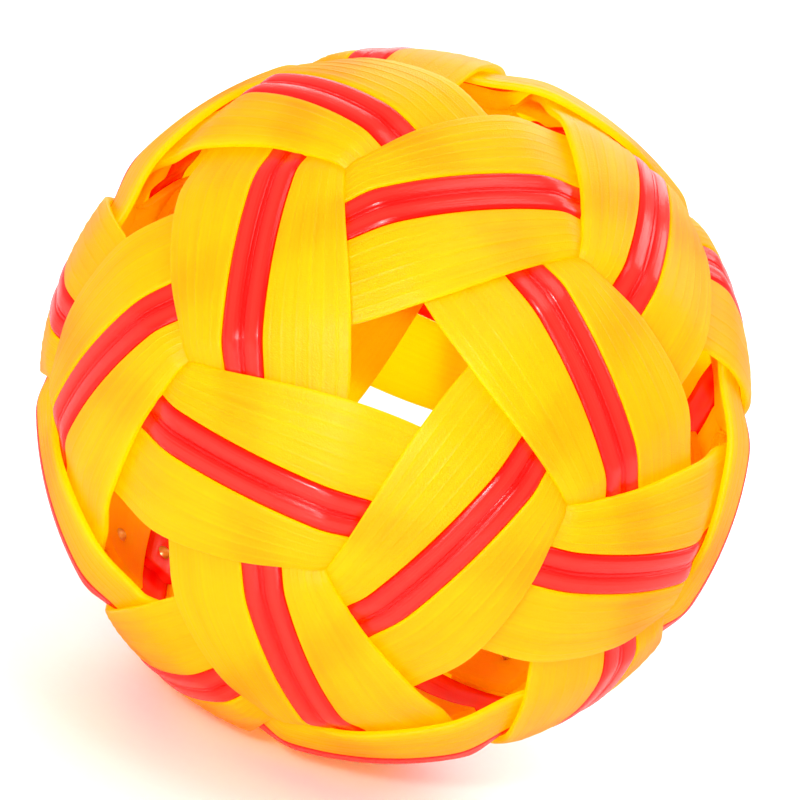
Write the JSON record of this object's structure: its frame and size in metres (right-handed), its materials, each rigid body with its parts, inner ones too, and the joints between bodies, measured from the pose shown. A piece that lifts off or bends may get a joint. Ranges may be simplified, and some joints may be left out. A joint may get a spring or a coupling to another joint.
{
  "type": "woven foot-juggling ball",
  "caption": "Hollow see-through ball woven from flat plastic strips in great-circle bands, each band one red strip between two yellow ones, with five-sided openings.",
  "frame": {"origin": "centre of the ball", "axes": "+Z out through the middle of the top five-sided opening, -Y side holds the upper opening that faces the front, +X through a crossing to its right"},
  "size_m": [0.137, 0.1368, 0.1346],
  "materials": {
    "yellow_plastic": "satin ribbed plastic strip, slightly translucent",
    "red_plastic": "glossy ribbed plastic strip",
    "brass": "plain worn brass"
  },
  "bodies": {
    "root": {"band1_red_pin": "brass", "band1_red_strip": "red_plastic", "band1_yellow_pin_a": "brass", "band1_yellow_pin_b": "brass", "band1_yellow_strip_a": "yellow_plastic", "band1_yellow_strip_b": "yellow_plastic", "band2_red_pin": "brass", "band2_red_strip": "red_plastic", "band2_yellow_pin_a": "brass", "band2_yellow_pin_b": "brass", "band2_yellow_strip_a": "yellow_plastic", "band2_yellow_strip_b": "yellow_plastic", "band3_red_pin": "brass", "band3_red_strip": "red_plastic", "band3_yellow_pin_a": "brass", "band3_yellow_pin_b": "brass", "band3_yellow_strip_a": "yellow_plastic", "band3_yellow_strip_b": "yellow_plastic", "band4_red_pin": "brass", "band4_red_strip": "red_plastic", "band4_yellow_pin_a": "brass", "band4_yellow_pin_b": "brass", "band4_yellow_strip_a": "yellow_plastic", "band4_yellow_strip_b": "yellow_plastic", "band5_red_pin": "brass", "band5_red_strip": "red_plastic", "band5_yellow_pin_a": "brass", "band5_yellow_pin_b": "brass", "band5_yellow_strip_a": "yellow_plastic", "band5_yellow_strip_b": "yellow_plastic", "band6_red_pin": "brass", "band6_red_strip": "red_plastic", "band6_yellow_pin_a": "brass", "band6_yellow_pin_b": "brass", "band6_yellow_strip_a": "yellow_plastic", "band6_yellow_strip_b": "yellow_plastic"}
  },
  "joints": []
}
